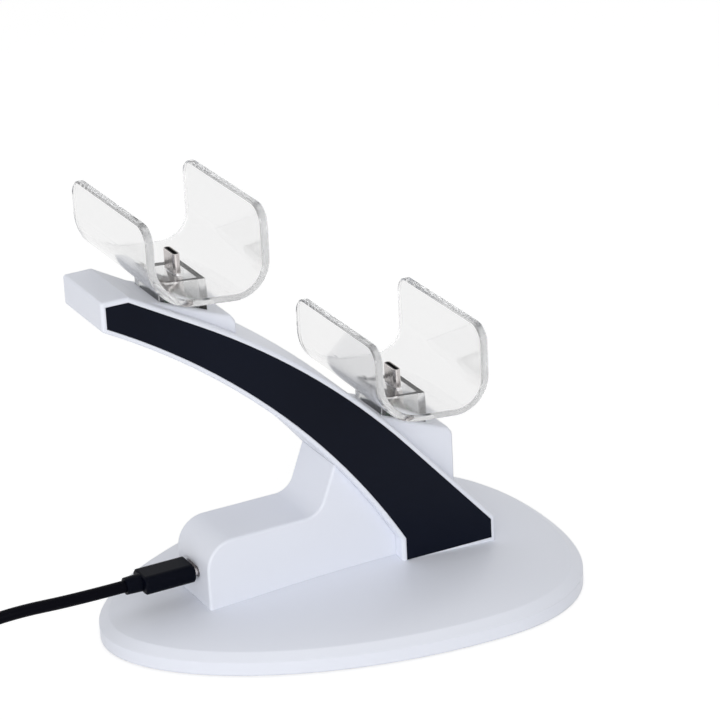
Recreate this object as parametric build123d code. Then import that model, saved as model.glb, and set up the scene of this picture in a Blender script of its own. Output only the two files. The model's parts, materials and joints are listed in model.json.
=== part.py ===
from build123d import *
import math
import os

# Controller charging dock. Millimetres, +Z up, origin on the floor under the middle of the base.
# X runs along the dock: the power inlet is at -X, the foot of the arm at +X.

# Base: egg-shaped outline, one curve from each end to the widest point
BASE_LENGTH = 161.0
BASE_HALF_WIDTH = 61.0
BASE_WIDEST_X = 30.5
NARROW_END_HANDLE = 28.0
NARROW_SIDE_HANDLE = 62.0
BROAD_END_HANDLE = 41.0
BROAD_SIDE_HANDLE = 32.5
FOOT_PROUD = 0.8
BASE_WALL_HEIGHT = 4.5
SHOULDER_HEIGHT = 2.3
SHOULDER_INSET = 3.4
DOME_RISE = 3.05
DOME_INSET = 27.0
DOME_FULLNESS = 0.69
CROWN_RISE = 2.05
CROWN_INSET = 50.0
SEAT_RISE = 2.8
BASE_WALL = 2.4
BASE_TOP_WALL = 2.2

# Inside the base
COVER_THICKNESS = 2.4
COVER_FIT = 0.2
BALLAST_THICKNESS = 2.0
BALLAST_INSET = 24.0
BASE_BOSS_INSET = 10.0
BASE_BOSS_X = (-52.0, 56.0)
FOOT_PAD_RADIUS = 5.0
FOOT_PAD_INSET = 13.0
FOOT_PAD_X = (-38.0, 40.0)
FOOT_PAD_SINK = 0.8

# Screws
SCREW_RADIUS = 1.4
SCREW_HEAD_RADIUS = 2.8
SCREW_HEAD_HEIGHT = 1.6
SCREW_LENGTH = 9.0
BASE_SCREW_LENGTH = 2.6
SCREW_HOLE_FIT = 0.1
BOSS_RADIUS = 3.4

# Stem
STEM_PORT_X = -48.8
STEM_HALF_WIDTH = 11.6
STEM_TOP = 23.35
STEM_CORNER_RADIUS = 9.5
STEM_RISER_X = -8.65
STEM_RISER_LEAN = 21.0
STEM_RISER_RADIUS = 7.0
STEM_WALL = 2.2
STEM_EDGE_RADIUS = 0.9
STEM_SCREW_X = (-10.0, 11.0)

# Arm: side profile, and a plan that widens from the nose to the foot
NOSE_X = -78.8
NOSE_TOP = 123.7
NOSE_DEPTH = 9.5
CREST_LENGTH = 9.4
ARM_KNEE_X = -7.4
ARM_KNEE_Z = 88.2
ARM_KNEE_REACH = 45.8
ARM_BELLY_X = -24.6
ARM_BELLY_Z = 74.4
FOOT_FRONT_X = 18.2
FOOT_BACK_X = 52.6
FOOT_FRONT_HEIGHT = 9.0
FOOT_BACK_HEIGHT = 8.7
NOSE_HALF_WIDTH = 14.8
FOOT_HALF_WIDTH = 16.7
ARM_RIM = 1.5
ARM_EDGE_RADIUS = 1.0
PANEL_THICKNESS = 2.0
PANEL_FIT = 0.1
ARM_WALL = 2.0
ARM_WEB = 6.0
FOOT_SOLID = 12.0
FOOT_SCREW_X = (30.0, 43.0)

# Cradles: local origin on the plug's axis at the top of the foot
UPPER_CRADLE_X = -48.3
UPPER_CRADLE_LIFT = 10.68
LOWER_CRADLE_X = 25.7
LOWER_CRADLE_LIFT = 16.15
CRADLE_LENGTH = 56.0
CRADLE_WALL = 2.7
CRADLE_FLOOR = 2.2
LEFT_WALL_X = -20.0
RIGHT_WALL_X = 20.2
LEFT_WALL_TOP = 27.0
RIGHT_WALL_TOP = 26.0
LEFT_FLOOR_Z = 0.6
RIGHT_FLOOR_Z = -3.2
LEFT_BEND_RADIUS = 16.0
RIGHT_BEND_RADIUS = 11.5
WALL_CORNER_RADIUS = 6.0
RIM_EDGE = 0.5
FOOT_LENGTH = 15.5
FOOT_OFFSET = -1.25
FOOT_WIDTH = 18.5
FOOT_DEPTH = 14.0
FOOT_WALL = 2.0
FOOT_ROOF = 2.2
FOOT_FIT = 0.2
BOARD_LIFT = 1.5
BOARD_REST_WIDTH = 1.0

# Pedestals on the arm
PEDESTAL_HALF_WIDTH = 12.0
PEDESTAL_BACK = 14.5
PEDESTAL_FRONT = 16.0
PEDESTAL_DROP = 8.1
PEDESTAL_SLOPE = 21.5
PEDESTAL_CHAMFER = 1.2
PEDESTAL_ROOT = 5.0
BOSS_HALF_LENGTH = 12.0
BOSS_DEPTH = 30.0

# Charging plugs and boards
PLUG_WIDTH = 8.3
PLUG_THICKNESS = 2.5
PLUG_HEIGHT = 7.2
PLUG_WALL = 0.3
PLUG_SLOT_FIT = 0.15
LINER_WALL = 0.4
MOUTH_DEPTH = 5.0
BOARD_THICKNESS = 1.2
BOARD_FIT = 0.5

# Power inlet and main board
INLET_HEIGHT = 10.7
INLET_LENGTH = 7.3
INLET_RECESS = 0.8
INLET_FIT = 0.1
INLET_WALL = 0.3
INLET_HOLE_FIT = 0.2
TONGUE_WIDTH = 6.6
TONGUE_THICKNESS = 0.7
TONGUE_LENGTH = 4.5
MAIN_BOARD_LENGTH = 29.0
MAIN_BOARD_WIDTH = 15.0
CHIP_SIDE = 5.0
CHIP_HEIGHT = 1.0
STANDOFF_RADIUS = 2.0
STANDOFF_X = (-40.0, -24.0)
STANDOFF_Y = 5.0

# Wires
WIRE_RADIUS = 1.2
WIRE_HOLE_RADIUS = 1.8
WIRE_SIDE = 6.0
UPPER_RISE_X = 4.0
UPPER_RISE_Z = 57.0
LOWER_RISE_X = 9.0
WIRE_BEND = 3.0
WIRE_ENTRY_DROP = 26.0
STEM_WAY = 34.0

# Lead
TIP_LENGTH = 6.0
TIP_GAP = 1.4
LEAD_PLUG_LENGTH = 17.2
LEAD_PLUG_WIDTH = 11.2
LEAD_PLUG_HEIGHT = 6.2
LEAD_PLUG_RADIUS = 2.6
LEAD_EDGE = 0.5
COLLAR_LENGTH = 5.2
COLLAR_RADIUS = 3.0
COLLAR_WALL = 0.8
CABLE_RADIUS = 2.0
COIL_RADIUS = 22.0
COIL_X = -184.0
COIL_NEAR_Y = 6.0
COIL_TURNS_WIDE = 3
TIE_WIDTH = 9.0
TIE_THICKNESS = 1.0
FAR_BODY_LENGTH = 26.0
FAR_BODY_WIDTH = 15.0
FAR_BODY_HEIGHT = 8.0
FAR_BODY_RADIUS = 2.5
FAR_SHELL_LENGTH = 18.0
FAR_SHELL_WIDTH = 12.0
FAR_SHELL_HEIGHT = 4.5
FAR_SHELL_WALL = 0.4
FAR_TONGUE_HEIGHT = 1.9
ARC_SHARE = 0.45

# Levels that follow from the sizes above
BASE_FLOOR = FOOT_PROUD
WALL_TOP = BASE_FLOOR + BASE_WALL_HEIGHT
SHOULDER_TOP = WALL_TOP + SHOULDER_HEIGHT
SEAT = SHOULDER_TOP + SEAT_RISE
CAVITY_TOP = SHOULDER_TOP - BASE_TOP_WALL
SEAT_UNDERSIDE = SEAT - BASE_TOP_WALL
COVER_TOP = BASE_FLOOR + COVER_THICKNESS
INLET_Z = SEAT + INLET_HEIGHT
INLET_OUTER_WIDTH = PLUG_WIDTH + 2 * (INLET_FIT + INLET_WALL)
INLET_OUTER_HEIGHT = PLUG_THICKNESS + 2 * (INLET_FIT + INLET_WALL)
BOARD_TOP = INLET_Z - INLET_OUTER_HEIGHT / 2
BOARD_LENGTH = FOOT_LENGTH - 2 * (FOOT_WALL + BOARD_FIT)
BOARD_WIDTH = FOOT_WIDTH - 2 * (FOOT_WALL + BOARD_FIT)
COIL_WIDTH = 2 * CABLE_RADIUS * COIL_TURNS_WIDE
COIL_Y = COIL_NEAR_Y + COIL_RADIUS + COIL_WIDTH / 2 - CABLE_RADIUS
LAYER_RISE = math.sqrt(3) * CABLE_RADIUS
COIL_HEIGHT = 2 * CABLE_RADIUS + LAYER_RISE
EXTRA = 200.0
LOW = (Align.CENTER, Align.CENTER, Align.MIN)
FRONT = (Align.MIN, Align.CENTER, Align.CENTER)


def egg(inset, z):
    """Face of the base outline, drawn in by inset, at height z."""
    end = BASE_LENGTH / 2 - inset
    side = BASE_HALF_WIDTH - inset
    narrow = (side / BASE_HALF_WIDTH) * NARROW_END_HANDLE
    broad = (side / BASE_HALF_WIDTH) * BROAD_END_HANDLE
    to_narrow = NARROW_SIDE_HANDLE * end / (BASE_LENGTH / 2)
    to_broad = BROAD_SIDE_HANDLE * end / (BASE_LENGTH / 2)
    x = BASE_WIDEST_X * end / (BASE_LENGTH / 2)
    far = Curve() + [
        Bezier((-end, 0), (-end, narrow), (x - to_narrow, side), (x, side)),
        Bezier((x, side), (x + to_broad, side), (end, broad), (end, 0)),
    ]
    near = mirror(far, about=Plane.XZ)
    return Pos(0, 0, z) * make_face(far.edges() + near.edges())


def egg_half_width(x, inset):
    """Half width of the drawn-in outline at x."""
    section = egg(inset, 0) & Pos(x, 0, 0) * Rectangle(0.2, 2 * BASE_LENGTH)
    return section.bounding_box().size.Y / 2


def rise(face, height):
    return extrude(face, height, dir=(0, 0, 1))


def side_extrude(face, half_width):
    """Extrude a face drawn in the XZ plane to both sides of y = 0."""
    return extrude(face, half_width, dir=(0, 1, 0), both=True)


def side_face(*edges):
    return make_face(edges)


def stadium(width, thickness, length):
    """Stadium bar along +Z, long axis in Y, on the origin."""
    return rise(SlotOverall(width, thickness, rotation=90), length)


def along_x(solid, x, z):
    """Turn a bar that stands on the origin so that it points to +X from (x, 0, z)."""
    return Pos(x, 0, z) * Rot(0, 90, 0) * solid


def drop_cylinder(x, y, z, radius, height):
    """Upright cylinder standing on (x, y, z)."""
    return Pos(x, y, z) * Cylinder(radius, height, align=LOW)


def screw(x, y, head_z, length):
    """Screw pointing up, the seat of its head at head_z."""
    head = drop_cylinder(x, y, head_z - SCREW_HEAD_HEIGHT, SCREW_HEAD_RADIUS, SCREW_HEAD_HEIGHT)
    return head + drop_cylinder(x, y, head_z, SCREW_RADIUS, length)


def rim_points(x_values, inset):
    """Pairs of points near the base's rim, one on each side."""
    return [(x, side * egg_half_width(x, inset)) for x in x_values for side in (-1, 1)]


# Arm outline

def arm_outline():
    """Side profile of the arm in the XZ plane."""
    crest = Vector(NOSE_X + CREST_LENGTH, 0, NOSE_TOP)
    knee = Vector(ARM_KNEE_X, 0, ARM_KNEE_Z)
    heel = Vector(FOOT_BACK_X, 0, SEAT + FOOT_BACK_HEIGHT)
    toe = Vector(FOOT_FRONT_X, 0, SEAT + FOOT_FRONT_HEIGHT)
    chin = Vector(NOSE_X, 0, NOSE_TOP - NOSE_DEPTH)
    bend_start = knee + (crest - knee).normalized() * ARM_KNEE_REACH
    bend_end = knee + (heel - knee).normalized() * ARM_KNEE_REACH
    bend = TangentArc(bend_start, bend_end, tangent=knee - bend_start)
    foot = Polyline(bend_end, heel, (FOOT_BACK_X, 0, SEAT), (FOOT_FRONT_X, 0, SEAT), toe)
    belly = ThreePointArc(toe, (ARM_BELLY_X, 0, ARM_BELLY_Z), chin)
    nose = Polyline(chin, (NOSE_X, 0, NOSE_TOP), crest, bend_start)
    return side_face(bend, *foot.edges(), belly, *nose.edges())


def arm_slab(inset):
    """Plan of the arm, drawn in from its sides, as a tall block."""
    nose = NOSE_HALF_WIDTH - inset
    foot = FOOT_HALF_WIDTH - inset
    plan = Polyline(
        (NOSE_X, -nose), (FOOT_BACK_X, -foot), (FOOT_BACK_X, foot), (NOSE_X, nose), close=True
    )
    return rise(make_face(plan), EXTRA)


def inset_side(face, amount):
    """Draw a side face in by an even amount."""
    return offset(face, -amount, kind=Kind.INTERSECTION)


def arm_top_at(x):
    """Height of the arm's top at x."""
    upright = Line((x, 0, 0), (x, 0, EXTRA))
    return (upright & arm_outline()).bounding_box().max.Z


def cradle_places():
    """Local origin (x, z) of each cradle, at its height above the arm."""
    return {
        "upper": (UPPER_CRADLE_X, arm_top_at(UPPER_CRADLE_X) + UPPER_CRADLE_LIFT),
        "lower": (LOWER_CRADLE_X, arm_top_at(LOWER_CRADLE_X) + LOWER_CRADLE_LIFT),
    }


def pedestal_top(x, z, at_x):
    """Height of the sloping top of the pedestal under the cradle at (x, z)."""
    return z - PEDESTAL_DROP - math.tan(math.radians(PEDESTAL_SLOPE)) * (at_x - x)


def pedestal(x, z):
    """Wedge on the arm's top under one cradle, rooted in the arm."""
    back = x + PEDESTAL_BACK
    front = x - PEDESTAL_FRONT
    cut = back - PEDESTAL_CHAMFER
    back_top = pedestal_top(x, z, back) - PEDESTAL_CHAMFER
    profile = side_face(*Polyline(
        (front, 0, pedestal_top(x, z, front)),
        (cut, 0, pedestal_top(x, z, cut)),
        (back, 0, back_top),
        (back, 0, arm_top_at(back) - ARM_RIM),
        (front, 0, arm_top_at(front) - PEDESTAL_ROOT),
        close=True,
    ).edges())
    wedge = side_extrude(profile, PEDESTAL_HALF_WIDTH)
    upper = [face for face in wedge.faces() if face.normal_at().Z > 0]
    rims = [e for face in upper for e in face.edges() if abs(e.center().Y) > ARM_EDGE_RADIUS]
    return fillet(rims, ARM_EDGE_RADIUS)


def cradle_pocket(x, z):
    """Space in the pedestal for the cradle's foot."""
    length = FOOT_LENGTH + 2 * FOOT_FIT
    width = FOOT_WIDTH + 2 * FOOT_FIT
    return Pos(x + FOOT_OFFSET, 0, z - FOOT_DEPTH) * Box(length, width, EXTRA, align=LOW)


def board_rests(x, z):
    """Two ribs across the pocket's floor that carry the connector board."""
    middle = Pos(x + FOOT_OFFSET, 0, z - FOOT_DEPTH)
    place = (BOARD_LENGTH - BOARD_REST_WIDTH) / 2
    rib = Box(BOARD_REST_WIDTH, BOARD_WIDTH, BOARD_LIFT, align=LOW)
    return middle * (Pos(-place, 0, 0) * rib + Pos(place, 0, 0) * rib)


def wire_routes():
    """Corner points of the two wires, from the main board to the connector boards."""
    start_x = STEM_PORT_X + STEM_WALL + MAIN_BOARD_LENGTH - WIRE_BEND
    level = BOARD_TOP + WIRE_RADIUS
    places = cradle_places()
    x, z = places["upper"]
    y = -WIRE_SIDE
    entry = z - WIRE_ENTRY_DROP
    upper = [
        (start_x, y, level), (UPPER_RISE_X, y, level), (UPPER_RISE_X, y, UPPER_RISE_Z),
        (x + BOSS_HALF_LENGTH + WIRE_BEND, y, entry), (x, y, entry), (x, y, board_underside(z)),
    ]
    x, z = places["lower"]
    y = WIRE_SIDE
    entry = z - WIRE_ENTRY_DROP
    lower = [
        (start_x, y, level), (LOWER_RISE_X, y, level), (LOWER_RISE_X, y, entry),
        (x, y, entry), (x, y, board_underside(z)),
    ]
    return {"upper": upper, "lower": lower}


def bar(points, section, bends):
    """Section swept along straight runs joined by arcs."""
    path = FilletPolyline(*points, radius=bends)
    return sweep(Plane(path @ 0, x_dir=(0, 1, 0), z_dir=path % 0) * section, path=path)


def board_underside(z):
    return z - FOOT_DEPTH + BOARD_LIFT


def wire_ways():
    """Drilled ways for the wires: up through the stem, across and up through the bosses."""
    ways = []
    rise_x = {"upper": UPPER_RISE_X, "lower": LOWER_RISE_X}
    for name, (x, z) in cradle_places().items():
        y = -WIRE_SIDE if name == "upper" else WIRE_SIDE
        turn = 1 if name == "upper" else -1
        entry = z - WIRE_ENTRY_DROP
        reach = BOSS_HALF_LENGTH + WIRE_HOLE_RADIUS
        across = Pos(x + turn * reach / 2, y, entry) * Rot(0, 90, 0) * Cylinder(WIRE_HOLE_RADIUS, reach)
        up = drop_cylinder(x, y, entry - WIRE_HOLE_RADIUS, WIRE_HOLE_RADIUS,
                           WIRE_ENTRY_DROP - FOOT_DEPTH + 2 * WIRE_HOLE_RADIUS)
        from_stem = drop_cylinder(rise_x[name], y, BOARD_TOP, WIRE_HOLE_RADIUS, STEM_WAY)
        ways += [across, up, from_stem]
    return ways


# Base

def base_top(arm_solid, stem_solid):
    """Domed shell with a flat seat sunk into the dome under the arm and the stem."""
    wall = rise(egg(0, BASE_FLOOR), BASE_WALL_HEIGHT)
    shoulder = loft([egg(0, WALL_TOP), egg(SHOULDER_INSET, SHOULDER_TOP)], ruled=True)
    half_way = (SHOULDER_INSET + DOME_INSET) / 2
    dome = loft([
        egg(SHOULDER_INSET, SHOULDER_TOP), egg(half_way, SHOULDER_TOP + DOME_FULLNESS * DOME_RISE),
        egg(DOME_INSET, SHOULDER_TOP + DOME_RISE),
        egg(CROWN_INSET, SHOULDER_TOP + DOME_RISE + CROWN_RISE),
    ])
    shell = wall + shoulder + dome - arm_solid - stem_solid
    shell -= rise(egg(BASE_WALL, BASE_FLOOR), CAVITY_TOP - BASE_FLOOR)
    shell -= rise(egg(DOME_INSET + BASE_WALL, CAVITY_TOP), SEAT_UNDERSIDE - CAVITY_TOP)
    for x, y in rim_points(BASE_BOSS_X, BASE_BOSS_INSET):
        shell += drop_cylinder(x, y, COVER_TOP, BOSS_RADIUS, CAVITY_TOP - COVER_TOP)
        shell -= drop_cylinder(x, y, COVER_TOP, SCREW_RADIUS + SCREW_HOLE_FIT, BASE_SCREW_LENGTH)
    for x in STEM_SCREW_X + FOOT_SCREW_X:
        shell -= drop_cylinder(x, 0, SEAT_UNDERSIDE, SCREW_RADIUS + SCREW_HOLE_FIT, BASE_TOP_WALL)
        shell -= drop_cylinder(
            x, 0, COVER_TOP, SCREW_HEAD_RADIUS + SCREW_HOLE_FIT, SEAT_UNDERSIDE - COVER_TOP
        )
    for x in STANDOFF_X:
        for y in (-STANDOFF_Y, STANDOFF_Y):
            shell += drop_cylinder(x, y, SEAT, STANDOFF_RADIUS, BOARD_TOP - BOARD_THICKNESS - SEAT)
    return shell


def base_bottom():
    cover = rise(egg(BASE_WALL + COVER_FIT, BASE_FLOOR), COVER_THICKNESS)
    for x, y in rim_points(BASE_BOSS_X, BASE_BOSS_INSET):
        cover -= drop_cylinder(x, y, BASE_FLOOR, SCREW_RADIUS + SCREW_HOLE_FIT, COVER_THICKNESS)
        cover -= drop_cylinder(
            x, y, BASE_FLOOR, SCREW_HEAD_RADIUS + SCREW_HOLE_FIT, SCREW_HEAD_HEIGHT
        )
    for x, y in rim_points(FOOT_PAD_X, FOOT_PAD_INSET):
        cover -= drop_cylinder(x, y, BASE_FLOOR, FOOT_PAD_RADIUS, FOOT_PAD_SINK)
    return cover


def ballast_plate():
    return rise(egg(BALLAST_INSET, COVER_TOP), BALLAST_THICKNESS)


def rubber_feet():
    pads = [drop_cylinder(x, y, 0, FOOT_PAD_RADIUS, FOOT_PROUD + FOOT_PAD_SINK)
            for x, y in rim_points(FOOT_PAD_X, FOOT_PAD_INSET)]
    return Compound(pads)


def base_screws():
    head_z = BASE_FLOOR + SCREW_HEAD_HEIGHT
    length = COVER_TOP - head_z + BASE_SCREW_LENGTH - SCREW_HOLE_FIT
    return Compound([screw(x, y, head_z, length)
                     for x, y in rim_points(BASE_BOSS_X, BASE_BOSS_INSET)])


def seat_screws(x_values):
    return Compound([screw(x, 0, SEAT_UNDERSIDE, SCREW_LENGTH) for x in x_values])


# Stem

def stem_outline():
    """Side profile of the stem, up to the arm's belly and the front of its foot."""
    top = SEAT + STEM_TOP
    lean = math.tan(math.radians(STEM_RISER_LEAN))
    peak = ARM_BELLY_Z - STEM_TOP / 2
    boot = FilletPolyline(
        (STEM_PORT_X, 0, SEAT), (STEM_PORT_X, 0, top), (STEM_RISER_X, 0, top),
        (STEM_RISER_X + lean * (peak - top), 0, peak),
        radius=(STEM_CORNER_RADIUS, STEM_RISER_RADIUS),
    )
    inside_arm = SEAT + 2 * FOOT_FRONT_HEIGHT
    rest = Polyline(
        boot @ 1, (FOOT_FRONT_X, 0, inside_arm), (FOOT_FRONT_X, 0, SEAT), (STEM_PORT_X, 0, SEAT)
    )
    return side_face(*boot.edges(), *rest.edges())


def stem_body():
    """The stem as a full block with rounded edges, before anything is cut out of it."""
    block = side_extrude(stem_outline(), STEM_HALF_WIDTH)
    sides = block.faces().filter_by(Axis.Y).edges()
    rounded = [e for e in sides if e.center().X < 0 and e.center().Z > SEAT + STEM_WALL]
    return fillet(rounded, STEM_EDGE_RADIUS)


def stem_housing(arm_solid, stem_solid):
    outline = stem_outline()
    solid = stem_solid - arm_solid
    hollow_face = inset_side((outline - arm_outline()).faces().sort_by(Axis.Z)[0], STEM_WALL)
    hollow = side_extrude(hollow_face, STEM_HALF_WIDTH - STEM_WALL)
    length = FOOT_FRONT_X - STEM_PORT_X - 2 * STEM_WALL
    mouth = Pos(STEM_PORT_X + STEM_WALL, 0, SEAT) * Box(
        length, 2 * (STEM_HALF_WIDTH - STEM_WALL), 2 * STEM_WALL,
        align=(Align.MIN, Align.CENTER, Align.MIN),
    )
    hollow += mouth
    solid -= hollow
    for x in STEM_SCREW_X:
        boss = drop_cylinder(x, 0, SEAT, BOSS_RADIUS, EXTRA) & side_extrude(outline, BOSS_RADIUS)
        solid += boss - arm_solid
        solid -= drop_cylinder(x, 0, SEAT, SCREW_RADIUS + SCREW_HOLE_FIT, SCREW_LENGTH)
    hole = along_x(
        stadium(INLET_OUTER_WIDTH + 2 * INLET_HOLE_FIT, INLET_OUTER_HEIGHT + 2 * INLET_HOLE_FIT,
                2 * STEM_WALL),
        STEM_PORT_X - STEM_WALL / 2, INLET_Z,
    )
    solid -= hole
    for way in wire_ways():
        solid -= way
    return solid


# Arm

def arm_body():
    """The arm as a full block with rounded edges, before anything is cut out of it."""
    block = side_extrude(arm_outline(), EXTRA) & arm_slab(0)
    free = [e for e in block.edges() if e.bounding_box().max.Z > SEAT + ARM_EDGE_RADIUS]
    sides = [e for e in free if abs(e.center().Y) > ARM_EDGE_RADIUS]
    nose = [e for e in free if e.bounding_box().max.X < NOSE_X + ARM_EDGE_RADIUS and e not in sides]
    return fillet(sides + nose, ARM_EDGE_RADIUS)


def arm_frame():
    outline = arm_outline()
    frame = arm_body()
    for x, z in cradle_places().values():
        frame += pedestal(x, z)
    core = arm_slab(PANEL_THICKNESS)
    frame -= side_extrude(inset_side(outline, ARM_RIM), EXTRA) - core
    pockets = side_extrude(inset_side(outline, ARM_RIM + ARM_WALL), FOOT_HALF_WIDTH)
    pockets -= Box(2 * EXTRA, ARM_WEB, 2 * EXTRA)
    pockets -= Pos(0, 0, SEAT) * Box(2 * EXTRA, EXTRA, 2 * FOOT_SOLID)
    for x, z in cradle_places().values():
        pockets -= Pos(x, 0, z - BOSS_DEPTH) * Box(2 * BOSS_HALF_LENGTH, EXTRA, EXTRA, align=LOW)
    frame -= pockets
    for x, z in cradle_places().values():
        frame -= cradle_pocket(x, z)
        frame += board_rests(x, z)
    for x in FOOT_SCREW_X:
        frame -= drop_cylinder(x, 0, SEAT, SCREW_RADIUS + SCREW_HOLE_FIT, SCREW_LENGTH)
    for way in wire_ways():
        frame -= way
    return frame


def side_panels():
    face = inset_side(arm_outline(), ARM_RIM + PANEL_FIT)
    both = (side_extrude(face, EXTRA) & arm_slab(0)) - arm_slab(PANEL_THICKNESS)
    near, far = both.solids().sort_by(Axis.Y)
    return {"near": near, "far": far}


# Cradles

def trough_line(wall, floor):
    """U line of the trough, drawn in from its outside by the thickness of its walls and floor."""
    left = LEFT_WALL_X + wall
    right = RIGHT_WALL_X - wall
    return FilletPolyline(
        (left, 0, LEFT_WALL_TOP), (left, 0, LEFT_FLOOR_Z + floor),
        (right, 0, RIGHT_FLOOR_Z + floor), (right, 0, RIGHT_WALL_TOP),
        radius=(LEFT_BEND_RADIUS - wall, RIGHT_BEND_RADIUS - wall),
    )


def trough():
    outer = trough_line(0, 0)
    inner = trough_line(CRADLE_WALL, CRADLE_FLOOR)
    caps = [Line(outer @ 0, inner @ 0), Line(outer @ 1, inner @ 1)]
    shell = side_extrude(side_face(*outer.edges(), *inner.edges(), *caps), CRADLE_LENGTH / 2)
    corners = [e for e in shell.edges().filter_by(Axis.X) if e.center().Z > RIGHT_WALL_TOP / 2]
    shell = fillet(corners, WALL_CORNER_RADIUS)
    across = shell.edges().filter_by(Axis.X)
    floor_seams = [e for e in shell.edges().filter_by(Axis.Y) if e.center().Z < RIGHT_WALL_TOP / 2]
    rims = [e for e in shell.edges() if e not in across and e not in floor_seams]
    return chamfer(rims, RIM_EDGE)


def cradle_foot():
    """Hollow foot under the trough that stands in the pedestal's pocket."""
    foot = Box(FOOT_LENGTH, FOOT_WIDTH, FOOT_DEPTH, align=LOW)
    foot -= Box(
        FOOT_LENGTH - 2 * FOOT_WALL, FOOT_WIDTH - 2 * FOOT_WALL, FOOT_DEPTH - FOOT_ROOF, align=LOW
    )
    return Pos(FOOT_OFFSET, 0, -FOOT_DEPTH) * foot


def cradle():
    """Clear trough with its foot and the slot for the charging plug, at the local origin."""
    slot = Pos(0, 0, -FOOT_DEPTH) * stadium(
        PLUG_WIDTH + 2 * PLUG_SLOT_FIT, PLUG_THICKNESS + 2 * PLUG_SLOT_FIT, 2 * FOOT_DEPTH
    )
    return trough() + cradle_foot() - slot


def charging_plug():
    """Metal shell and dark liner of one charging plug, at the cradle's local origin."""
    low = -FOOT_DEPTH + BOARD_LIFT + BOARD_THICKNESS
    length = PLUG_HEIGHT - low
    bore_width = PLUG_WIDTH - 2 * PLUG_WALL
    bore_thickness = PLUG_THICKNESS - 2 * PLUG_WALL
    bore = stadium(bore_width, bore_thickness, length)
    mouth = Pos(0, 0, length - MOUTH_DEPTH) * stadium(
        bore_width - 2 * LINER_WALL, bore_thickness - 2 * LINER_WALL, MOUTH_DEPTH
    )
    shell = stadium(PLUG_WIDTH, PLUG_THICKNESS, length) - bore
    return {"plug_shell": Pos(0, 0, low) * shell, "plug_liner": Pos(0, 0, low) * (bore - mouth)}


def connector_board():
    return Pos(FOOT_OFFSET, 0, -FOOT_DEPTH + BOARD_LIFT) * Box(
        BOARD_LENGTH, BOARD_WIDTH, BOARD_THICKNESS, align=LOW
    )


# Power inlet and electronics

def inlet():
    """Metal shell and tongue of the power inlet, which opens to -X."""
    x = STEM_PORT_X + INLET_RECESS
    outer = stadium(INLET_OUTER_WIDTH, INLET_OUTER_HEIGHT, INLET_LENGTH)
    bore = stadium(PLUG_WIDTH + 2 * INLET_FIT, PLUG_THICKNESS + 2 * INLET_FIT,
                   INLET_LENGTH - INLET_WALL)
    tongue = Pos(0, 0, INLET_LENGTH - INLET_WALL) * Box(
        TONGUE_THICKNESS, TONGUE_WIDTH, TONGUE_LENGTH, align=(Align.CENTER, Align.CENTER, Align.MAX)
    )
    return {"inlet_shell": along_x(outer - bore, x, INLET_Z),
            "inlet_tongue": along_x(tongue, x, INLET_Z)}


def main_board():
    x = STEM_PORT_X + STEM_WALL + COVER_FIT
    return Pos(x, 0, BOARD_TOP - BOARD_THICKNESS) * Box(
        MAIN_BOARD_LENGTH - COVER_FIT, MAIN_BOARD_WIDTH, BOARD_THICKNESS,
        align=(Align.MIN, Align.CENTER, Align.MIN),
    )


def charge_chip():
    x = STEM_PORT_X + STEM_WALL + MAIN_BOARD_LENGTH / 2
    return Pos(x, 0, BOARD_TOP) * Box(CHIP_SIDE, CHIP_SIDE, CHIP_HEIGHT, align=LOW)


# Lead

def plug_tip(length):
    """Metal tube of a plug tip on the origin, open at its far end."""
    bore = stadium(PLUG_WIDTH - 2 * PLUG_WALL, PLUG_THICKNESS - 2 * PLUG_WALL, length)
    return stadium(PLUG_WIDTH, PLUG_THICKNESS, length) - bore


def lead_plug():
    face_x = STEM_PORT_X - TIP_GAP
    body_face = RectangleRounded(LEAD_PLUG_HEIGHT, LEAD_PLUG_WIDTH, LEAD_PLUG_RADIUS)
    body = along_x(rise(body_face, LEAD_PLUG_LENGTH), face_x - LEAD_PLUG_LENGTH, INLET_Z)
    body = chamfer(body.faces().filter_by(Axis.X).edges(), LEAD_EDGE)
    tip = along_x(plug_tip(TIP_LENGTH + TIP_GAP), face_x, INLET_Z)
    cone = Cone(CABLE_RADIUS + COLLAR_WALL, COLLAR_RADIUS, COLLAR_LENGTH, align=LOW)
    collar = along_x(cone, face_x - LEAD_PLUG_LENGTH - COLLAR_LENGTH, INLET_Z)
    return {"lead_plug_body": body, "lead_plug_shell": tip, "lead_collar": collar}


def cable_route():
    """Points of the lead from the collar to the coil, out straight and down to the floor."""
    exit_x = STEM_PORT_X - TIP_GAP - LEAD_PLUG_LENGTH - COLLAR_LENGTH
    return [
        (exit_x, 0, INLET_Z), (-90, 0, INLET_Z), (-110, 2.2, 21.3), (-129, 5.4, 17.6),
        (-148, 7.6, 8.6), (-166, 7.0, 2.6), (COIL_X, COIL_NEAR_Y, CABLE_RADIUS),
    ]


def tail_route():
    """Points of the lead from the coil to its far plug."""
    y = COIL_Y + COIL_RADIUS + CABLE_RADIUS
    z = FAR_BODY_HEIGHT / 2
    return [(COIL_X, y + 0.6, CABLE_RADIUS + LAYER_RISE), (COIL_X + 12, y + 0.4, 5.4),
            (COIL_X + 25, y, z), (COIL_X + 37, y, z)]


def arc_radii(points):
    """Largest even arcs that the runs of a route leave room for."""
    radii = []
    for a, b, c in zip(points, points[1:], points[2:]):
        before = Vector(b) - Vector(a)
        after = Vector(c) - Vector(b)
        half_turn = math.radians(before.get_angle(after)) / 2
        radii.append(ARC_SHARE * min(before.length, after.length) / math.tan(half_turn))
    return radii


def coil_ring():
    """Outer shape of the coiled length: a flat ring."""
    section = Plane.XZ * Pos(COIL_RADIUS, COIL_HEIGHT / 2) * Rectangle(COIL_WIDTH, COIL_HEIGHT)
    return Pos(COIL_X, COIL_Y, 0) * revolve(section, Axis.Z)


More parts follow.
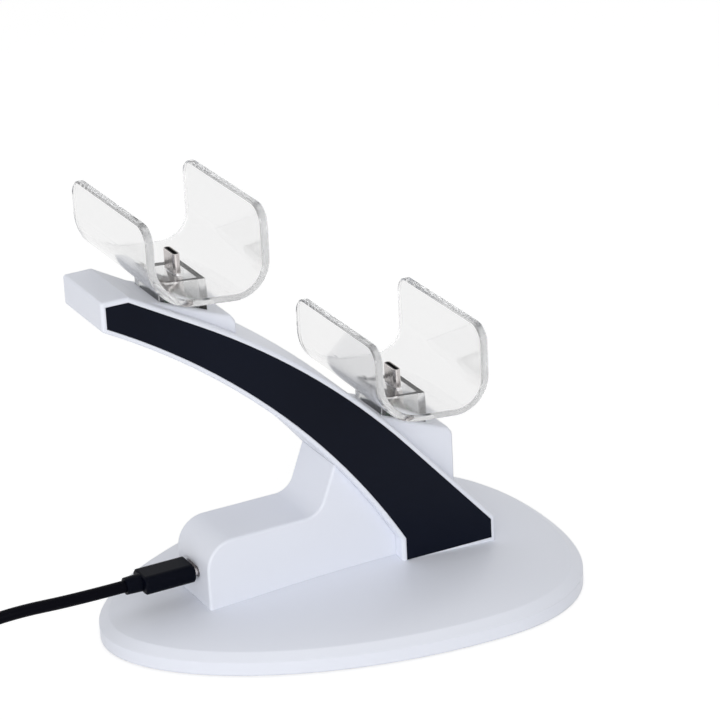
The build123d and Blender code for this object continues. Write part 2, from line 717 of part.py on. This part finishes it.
def tie_band():
    """Block from which the strap round the coil is cut, on the side of the dock."""
    height = COIL_HEIGHT + TIE_THICKNESS
    outline = Rectangle(COIL_WIDTH + 2 * TIE_THICKNESS, height)
    band = extrude(Plane.XZ * outline, TIE_WIDTH / 2, both=True)
    return Pos(COIL_X + COIL_RADIUS, COIL_Y, height / 2) * band


def far_plug():
    x, y, z = tail_route()[-1]
    body = along_x(rise(RectangleRounded(FAR_BODY_HEIGHT, FAR_BODY_WIDTH, FAR_BODY_RADIUS),
                        FAR_BODY_LENGTH), x, z)
    body = chamfer(body.faces().filter_by(Axis.X).edges(), LEAD_EDGE)
    front = x + FAR_BODY_LENGTH
    outer = Box(FAR_SHELL_LENGTH, FAR_SHELL_WIDTH, FAR_SHELL_HEIGHT, align=FRONT)
    inner = Box(FAR_SHELL_LENGTH, FAR_SHELL_WIDTH - 2 * FAR_SHELL_WALL,
                FAR_SHELL_HEIGHT - 2 * FAR_SHELL_WALL, align=FRONT)
    tongue = Pos(0, 0, FAR_SHELL_HEIGHT / 2 - FAR_SHELL_WALL) * Box(
        FAR_SHELL_LENGTH - FAR_SHELL_WALL, FAR_SHELL_WIDTH - 2 * FAR_SHELL_WALL, FAR_TONGUE_HEIGHT,
        align=(Align.MIN, Align.CENTER, Align.MAX),
    )
    return {"far_plug_body": Pos(0, y, 0) * body,
            "far_plug_shell": Pos(front, y, z) * (outer - inner),
            "far_plug_tongue": Pos(front, y, z) * tongue}


def lead():
    """The cable's free stretches and its coil."""
    band = tie_band()
    coil = coil_ring() - (band & Box(2 * EXTRA, EXTRA, 2 * TIE_THICKNESS))
    pieces = {"lead_coil": coil, "coil_tie": band - coil}
    for name, route in (("lead_cable", cable_route()), ("lead_tail", tail_route())):
        radii = arc_radii(route)
        tube = bar(route, Circle(CABLE_RADIUS), radii)
        print(name, "arc radii", [round(r, 1) for r in radii], "volume", round(tube.volume, 1),
              "section times length", round(math.pi * CABLE_RADIUS ** 2 * path_length(route), 1))
        pieces[name] = tube - coil
    return pieces


def path_length(route):
    return FilletPolyline(*route, radius=arc_radii(route)).length


def all_pieces():
    arm_solid = arm_body()
    stem_solid = stem_body()
    pieces = {
        "base_top": base_top(arm_solid, stem_solid),
        "base_bottom": base_bottom(),
        "ballast_plate": ballast_plate(),
        "rubber_feet": rubber_feet(),
        "base_screws": base_screws(),
        "stem_housing": stem_housing(arm_solid, stem_solid),
        "stem_screws": seat_screws(STEM_SCREW_X),
        "arm_frame": arm_frame(),
        "foot_screws": seat_screws(FOOT_SCREW_X),
        "main_board": main_board(),
        "charge_chip": charge_chip(),
    }
    for side, panel in side_panels().items():
        pieces[f"side_panel_{side}"] = panel
    clear = cradle()
    for name, (x, z) in cradle_places().items():
        place = Pos(x, 0, z)
        pieces[f"cradle_{name}"] = place * clear
        for kind, solid in charging_plug().items():
            pieces[f"{kind}_{name}"] = place * solid
        pieces[f"connector_board_{name}"] = place * connector_board()
    for name, route in wire_routes().items():
        pieces[f"wire_{name}"] = bar(route, Rectangle(2 * WIRE_RADIUS, WIRE_RADIUS), WIRE_BEND)
    for group in (inlet(), lead_plug(), lead(), far_plug()):
        pieces.update(group)
    return pieces


os.makedirs("parts", exist_ok=True)
for node, shape in all_pieces().items():
    export_step(shape, f"parts/{node}.step")
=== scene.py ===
"""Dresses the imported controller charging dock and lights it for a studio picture."""

import json
import math

import bmesh
import bpy
from mathutils import Matrix, Vector


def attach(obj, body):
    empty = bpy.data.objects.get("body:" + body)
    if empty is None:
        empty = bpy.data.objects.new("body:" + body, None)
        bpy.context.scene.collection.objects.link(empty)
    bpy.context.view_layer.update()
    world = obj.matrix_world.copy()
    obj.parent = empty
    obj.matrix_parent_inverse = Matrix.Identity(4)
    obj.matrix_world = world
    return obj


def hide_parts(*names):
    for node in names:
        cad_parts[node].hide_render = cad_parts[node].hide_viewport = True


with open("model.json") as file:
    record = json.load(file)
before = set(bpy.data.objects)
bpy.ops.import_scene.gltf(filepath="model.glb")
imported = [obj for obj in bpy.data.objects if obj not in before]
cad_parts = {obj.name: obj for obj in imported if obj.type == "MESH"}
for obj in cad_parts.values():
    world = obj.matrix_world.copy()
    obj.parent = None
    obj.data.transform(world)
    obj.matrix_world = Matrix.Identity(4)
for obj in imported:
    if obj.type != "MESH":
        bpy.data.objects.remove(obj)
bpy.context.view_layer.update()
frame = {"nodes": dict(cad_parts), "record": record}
NODES = frame["nodes"]

# Camera, in degrees and metres, with its lens and sensor in millimetres
VIEW_AZIMUTH = -26.60
VIEW_ELEVATION = 22.97
VIEW_ROLL = -2.87
VIEW_DISTANCE = 1.02453
VIEW_TARGET = Vector((0.01433, 0.0, 0.07813))
LENS_MM = 160.0
SENSOR_MM = 36.0
CLIP_NEAR = 0.01
CLIP_FAR = 20.0

# Lead, in metres, with a radius and a height for each turn of its coil
CABLE_RADIUS = 0.002
CABLE_ROUTE = [
    (-0.0726, 0.0, 0.0211), (-0.090, 0.0, 0.0211), (-0.110, 0.0022, 0.0213), (-0.129, 0.0054, 0.0176),
    (-0.148, 0.0076, 0.0086), (-0.166, 0.0070, 0.0026),
]
COIL_CENTRE = Vector((-0.184, 0.032))
COIL_TURNS = [(0.026, 0.002), (0.022, 0.002), (0.018, 0.002), (0.020, 0.00546), (0.024, 0.00546)]
COIL_POINTS_PER_TURN = 16
COIL_HOP = 0.0027
TAIL_ROUTE = [(-0.172, 0.0564, 0.0054), (-0.159, 0.056, 0.004), (-0.147, 0.056, 0.004)]
LEAD_SMOOTHNESS = 6

# Studio, in metres and watts, with a place, a point to face, a size and a power for each lamp
LIGHT_BOUNCES = 32
WORLD_STRENGTH = 0.525
FLOOR_SIZE = 6.0
FLOOR_GLOW = 0.71
FLOOR_COLOUR = (0.9, 0.9, 0.91)
FLOOR_SEEN_COLOUR = (0.45, 0.45, 0.45)
LAMPS = {
    "key": ((-0.55, -1.1, 0.55), (0, 0, 0.06), (0.9, 0.7), 5.2),
    "left": ((-1.05, -0.65, 0.16), (0, 0, 0.04), (0.9, 0.3), 2.5),
    "top": ((0.1, 0.0, 1.25), (0, 0, 0.06), (0.9, 0.9), 1.5),
}

# Textures, with scales in features to the metre and depths in metres
COLOUR_DRIFT_SCALE = 18.0
GLOSS_DRIFT_SCALE = 60.0
FINE_DETAIL = 2.0
EDGE_SAMPLES = 6

# Moulded finishes
PLASTICS = {
    "white_plastic": dict(dark=(0.785, 0.81, 0.885), pale=(0.81, 0.835, 0.91), roughness=(0.36, 0.46),
                          grain_scale=5200.0, grain_depth=0.000012, edge_radius=0.0006),
    "black_panel": dict(dark=(0.001, 0.002, 0.007), pale=(0.004, 0.0065, 0.016), roughness=(0.30, 0.38),
                        grain_scale=4200.0, grain_depth=0.00002, edge_radius=0.0003, specular=0.09),
    "dark_liner": dict(dark=(0.012, 0.012, 0.013), pale=(0.02, 0.02, 0.021), roughness=(0.4, 0.5),
                       grain_scale=3000.0, grain_depth=0.00001),
    "circuit_board": dict(dark=(0.02, 0.10, 0.05), pale=(0.03, 0.14, 0.07), roughness=(0.25, 0.35),
                          grain_scale=900.0, grain_depth=0.00002),
    "rubber": dict(dark=(0.55, 0.57, 0.60), pale=(0.60, 0.62, 0.65), roughness=(0.7, 0.85),
                   grain_scale=2600.0, grain_depth=0.00004),
    "wire_jacket": dict(dark=(0.30, 0.02, 0.02), pale=(0.38, 0.03, 0.025), roughness=(0.4, 0.5),
                        grain_scale=2000.0, grain_depth=0.00001),
    "plug_black": dict(dark=(0.0015, 0.002, 0.005), pale=(0.003, 0.004, 0.009), roughness=(0.36, 0.46),
                       grain_scale=4000.0, grain_depth=0.00002, edge_radius=0.0005, specular=0.04),
    "cable_jacket": dict(dark=(0.002, 0.002, 0.004), pale=(0.003, 0.003, 0.006), roughness=(0.30, 0.42),
                         grain_scale=1500.0, grain_depth=0.00002, specular=0.03),
}

# Drawn metals, whose lines run along the axis with the smallest stretch
METALS = {
    "nickel": dict(colour=(0.70, 0.66, 0.65), roughness=(0.22, 0.34), stretch=(1.0, 1.0, 0.08)),
    "steel_plate": dict(colour=(0.52, 0.53, 0.54), roughness=(0.3, 0.45), stretch=(0.05, 1.0, 1.0)),
    "screw_steel": dict(colour=(0.45, 0.45, 0.46), roughness=(0.25, 0.4), stretch=(1.0, 1.0, 0.1)),
}
LINE_SCALE = 900.0
LINE_DEPTH = 0.00001
LINE_SHADE = 0.86

# Clear plastic
CLEAR_COLOUR = (0.88, 0.88, 0.88)
CLEAR_ROUGHNESS = (0.06, 0.09)
CLEAR_GLOSS_SCALE = 40.0
CLEAR_IOR = 1.5
CLEAR_DEPTH_COLOUR = (0.30, 0.31, 0.33)
CLEAR_DEPTH_DENSITY = 7.0

# Woven strap
STRAP_DARK = (0.006, 0.006, 0.007)
STRAP_PALE = (0.02, 0.02, 0.022)
STRAP_ROUGHNESS = 0.9
RIB_SCALE = 400.0
RIB_WANDER = 1.5
RIB_DEPTH = 0.0003


def new_material(name):
    """New node material, with its tree and its shader."""
    material = bpy.data.materials.new(name)
    material.use_nodes = True
    return material, material.node_tree, material.node_tree.nodes["Principled BSDF"]


def set_inputs(node, **values):
    """Sets a node's sockets, whose names have spaces for underscores."""
    for name, value in values.items():
        node.inputs[name.replace("_", " ")].default_value = value


def noise(tree, scale, detail=3.0, stretch=(1.0, 1.0, 1.0)):
    """Noise in the object's own metres."""
    coordinates = tree.nodes.new("ShaderNodeTexCoord")
    mapping = tree.nodes.new("ShaderNodeMapping")
    set_inputs(mapping, Scale=stretch)
    texture = tree.nodes.new("ShaderNodeTexNoise")
    set_inputs(texture, Scale=scale, Detail=detail)
    tree.links.new(coordinates.outputs["Object"], mapping.inputs["Vector"])
    tree.links.new(mapping.outputs["Vector"], texture.inputs["Vector"])
    return texture.outputs["Fac"]


def ramp(tree, value, low, high):
    """Maps a value from 0 to 1 to the colours from low to high."""
    node = tree.nodes.new("ShaderNodeMix")
    node.data_type = "RGBA"
    set_inputs(node, A=(*low, 1.0), B=(*high, 1.0))
    tree.links.new(value, node.inputs["Factor"])
    return node.outputs["Result"]


def remap(tree, value, low, high):
    """Maps a value from 0 to 1 to the numbers from low to high."""
    node = tree.nodes.new("ShaderNodeMapRange")
    set_inputs(node, To_Min=low, To_Max=high)
    tree.links.new(value, node.inputs["Value"])
    return node.outputs["Result"]


def bump(tree, shader, height, distance, edge_radius=0.0):
    """Surface grain, with softened edges where edge_radius is given."""
    node = tree.nodes.new("ShaderNodeBump")
    set_inputs(node, Strength=1.0, Distance=distance)
    tree.links.new(height, node.inputs["Height"])
    if edge_radius:
        soft = tree.nodes.new("ShaderNodeBevel")
        soft.samples = EDGE_SAMPLES
        set_inputs(soft, Radius=edge_radius)
        tree.links.new(soft.outputs["Normal"], node.inputs["Normal"])
    tree.links.new(node.outputs["Normal"], shader.inputs["Normal"])


def plastic(name, dark, pale, roughness, grain_scale, grain_depth, edge_radius=0.0, specular=0.5):
    """Moulded plastic: faint colour drift, uneven gloss and a fine spark-eroded grain."""
    material, tree, shader = new_material(name)
    set_inputs(shader, Specular_IOR_Level=specular)
    drift = noise(tree, COLOUR_DRIFT_SCALE)
    gloss = noise(tree, GLOSS_DRIFT_SCALE)
    tree.links.new(ramp(tree, drift, dark, pale), shader.inputs["Base Color"])
    tree.links.new(remap(tree, gloss, *roughness), shader.inputs["Roughness"])
    bump(tree, shader, noise(tree, grain_scale, FINE_DETAIL), grain_depth, edge_radius)
    return material


def metal(name, colour, roughness, stretch):
    """Drawn metal with fine lines along one axis."""
    material, tree, shader = new_material(name)
    set_inputs(shader, Metallic=1.0)
    lines = noise(tree, LINE_SCALE, FINE_DETAIL, stretch)
    dark = [LINE_SHADE * channel for channel in colour]
    tree.links.new(ramp(tree, lines, dark, colour), shader.inputs["Base Color"])
    tree.links.new(remap(tree, lines, *roughness), shader.inputs["Roughness"])
    bump(tree, shader, lines, LINE_DEPTH)
    return material


def clear_plastic(name):
    """Polished clear plastic, faintly grey through its depth."""
    material, tree, shader = new_material(name)
    set_inputs(shader, Base_Color=(*CLEAR_COLOUR, 1.0), Transmission_Weight=1.0, IOR=CLEAR_IOR)
    gloss = noise(tree, CLEAR_GLOSS_SCALE)
    tree.links.new(remap(tree, gloss, *CLEAR_ROUGHNESS), shader.inputs["Roughness"])
    depth = tree.nodes.new("ShaderNodeVolumeAbsorption")
    set_inputs(depth, Color=(*CLEAR_DEPTH_COLOUR, 1.0), Density=CLEAR_DEPTH_DENSITY)
    tree.links.new(depth.outputs["Volume"], tree.nodes["Material Output"].inputs["Volume"])
    return material


def woven(name):
    """Flat woven strap with fine ribs."""
    material, tree, shader = new_material(name)
    set_inputs(shader, Roughness=STRAP_ROUGHNESS)
    coordinates = tree.nodes.new("ShaderNodeTexCoord")
    wave = tree.nodes.new("ShaderNodeTexWave")
    set_inputs(wave, Scale=RIB_SCALE, Distortion=RIB_WANDER)
    tree.links.new(coordinates.outputs["Object"], wave.inputs["Vector"])
    tree.links.new(ramp(tree, wave.outputs["Fac"], STRAP_DARK, STRAP_PALE), shader.inputs["Base Color"])
    bump(tree, shader, wave.outputs["Fac"], RIB_DEPTH)
    return material


def make_materials():
    """One material for each slot of the record."""
    materials = {name: plastic(name, **finish) for name, finish in PLASTICS.items()}
    materials.update({name: metal(name, **finish) for name, finish in METALS.items()})
    materials["clear_plastic"] = clear_plastic("clear_plastic")
    materials["tie_strap"] = woven("tie_strap")
    return materials


def dress_nodes(materials):
    """Gives every solid the finish of its slot in the record."""
    for row in frame["record"]["subparts"]:
        piece = NODES[row["node"]]
        piece.data.materials.clear()
        piece.data.materials.append(materials[row["material_slot"]])


def coil_points():
    """Control points of the turns, clockwise from the near side.

    Over its last quarter each turn drifts to the radius of the next one. Where it climbs to the
    upper layer, it hops inward to clear the turn below. The last turn is a half one.
    """
    step = 2 * math.pi / COIL_POINTS_PER_TURN
    # The spline runs inside its control points, so they stand out by this much
    swell = 2 / (1 + math.cos(step / 2))
    drift = COIL_POINTS_PER_TURN // 4
    points = []
    for turn, (radius, height) in enumerate(COIL_TURNS):
        last = turn == len(COIL_TURNS) - 1
        count = COIL_POINTS_PER_TURN // 2 if last else COIL_POINTS_PER_TURN
        next_radius, next_height = COIL_TURNS[turn if last else turn + 1]
        hop = COIL_HOP if next_height > height else 0.0
        for i in range(count):
            done = max(0, i + drift - COIL_POINTS_PER_TURN) / drift
            reach = radius + (next_radius - radius) * done - hop * math.sin(math.pi * done)
            angle = -math.pi / 2 - i * step
            x = COIL_CENTRE.x + swell * reach * math.cos(angle)
            y = COIL_CENTRE.y + swell * reach * math.sin(angle)
            points.append((x, y, height + (next_height - height) * min(1.0, 2 * done)))
    return points


def lead_curve(points):
    """Smooth round curve along the control points."""
    curve = bpy.data.curves.new("lead", "CURVE")
    curve.dimensions = "3D"
    curve.bevel_depth = CABLE_RADIUS
    curve.bevel_resolution = LEAD_SMOOTHNESS
    curve.resolution_u = LEAD_SMOOTHNESS
    spline = curve.splines.new("NURBS")
    spline.points.add(len(points) - 1)
    for point, place in zip(spline.points, points):
        point.co = (*place, 1.0)
    spline.order_u = 3
    spline.use_endpoint_u = True
    return curve


def make_lead(material):
    """The lead from its collar, through its coil, to its far plug."""
    curve = lead_curve(CABLE_ROUTE + coil_points() + TAIL_ROUTE)
    curve.materials.append(material)
    lead = bpy.data.objects.new("lead", curve)
    bpy.context.scene.collection.objects.link(lead)
    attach(lead, "root")
    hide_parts("lead_cable", "lead_coil", "lead_tail")


def view_axes():
    """Right, up and back of the camera."""
    a, e, r = (math.radians(v) for v in (VIEW_AZIMUTH, VIEW_ELEVATION, VIEW_ROLL))
    back = Vector((math.sin(a) * math.cos(e), -math.cos(a) * math.cos(e), math.sin(e)))
    right = Vector((math.cos(a), math.sin(a), 0.0))
    up = back.cross(right)
    rolled_right = right * math.cos(r) + up * math.sin(r)
    return rolled_right, back.cross(rolled_right), back


def make_camera():
    right, up, back = view_axes()
    data = bpy.data.cameras.new("camera")
    data.sensor_width = SENSOR_MM
    data.lens = LENS_MM
    data.clip_start = CLIP_NEAR
    data.clip_end = CLIP_FAR
    camera = bpy.data.objects.new("camera", data)
    turn = Matrix((right, up, back)).transposed().to_4x4()
    camera.matrix_world = Matrix.Translation(VIEW_TARGET + VIEW_DISTANCE * back) @ turn
    bpy.context.scene.collection.objects.link(camera)
    bpy.context.scene.camera = camera


def seen_directly(tree):
    """1 for rays from the camera and for what mirrors and clear pieces show, else 0."""
    path = tree.nodes.new("ShaderNodeLightPath")
    seen = path.outputs["Is Camera Ray"]
    for name in ("Is Glossy Ray", "Is Transmission Ray"):
        either = tree.nodes.new("ShaderNodeMath")
        either.operation = "MAXIMUM"
        tree.links.new(seen, either.inputs[0])
        tree.links.new(path.outputs[name], either.inputs[1])
        seen = either.outputs[0]
    return seen


def let_light_through():
    """Enough bounces for light that runs round inside the rims of the clear walls."""
    cycles = bpy.context.scene.cycles
    cycles.max_bounces = LIGHT_BOUNCES
    cycles.glossy_bounces = LIGHT_BOUNCES
    cycles.transmission_bounces = LIGHT_BOUNCES


def make_world():
    """Even light all round, white where it is seen."""
    world = bpy.data.worlds.new("studio")
    bpy.context.scene.world = world
    world.use_nodes = True
    tree = world.node_tree
    background = tree.nodes["Background"]
    set_inputs(background, Color=(1.0, 1.0, 1.0, 1.0))
    tree.links.new(remap(tree, seen_directly(tree), WORLD_STRENGTH, 1.0), background.inputs["Strength"])


def floor_material():
    """Pale floor that looks white and keeps the object's shadow."""
    material, tree, shader = new_material("floor")
    set_inputs(shader, Roughness=0.9, Specular_IOR_Level=0.1)
    seen = seen_directly(tree)
    tree.links.new(ramp(tree, seen, FLOOR_COLOUR, FLOOR_SEEN_COLOUR), shader.inputs["Base Color"])
    glow = tree.nodes.new("ShaderNodeEmission")
    tree.links.new(remap(tree, seen, 0.0, FLOOR_GLOW), glow.inputs["Strength"])
    add = tree.nodes.new("ShaderNodeAddShader")
    tree.links.new(shader.outputs["BSDF"], add.inputs[0])
    tree.links.new(glow.outputs["Emission"], add.inputs[1])
    tree.links.new(add.outputs["Shader"], tree.nodes["Material Output"].inputs["Surface"])
    return material


def make_floor():
    bm = bmesh.new()
    bmesh.ops.create_grid(bm, x_segments=1, y_segments=1, size=FLOOR_SIZE / 2)
    mesh = bpy.data.meshes.new("floor")
    bm.to_mesh(mesh)
    bm.free()
    mesh.materials.append(floor_material())
    floor = bpy.data.objects.new("floor", mesh)
    bpy.context.scene.collection.objects.link(floor)


def area_light(name, place, aim, size, power):
    data = bpy.data.lights.new(name, "AREA")
    data.shape = "RECTANGLE"
    data.size, data.size_y = size
    data.energy = power
    light = bpy.data.objects.new(name, data)
    direction = Vector(aim) - Vector(place)
    light.location = place
    light.rotation_euler = direction.to_track_quat("-Z", "Y").to_euler()
    bpy.context.scene.collection.objects.link(light)


materials = make_materials()
dress_nodes(materials)
make_camera()
make_lead(materials["cable_jacket"])
make_floor()
make_world()
for lamp, settings in LAMPS.items():
    area_light(lamp, *settings)
let_light_through()
bpy.context.scene.view_settings.view_transform = "Standard"
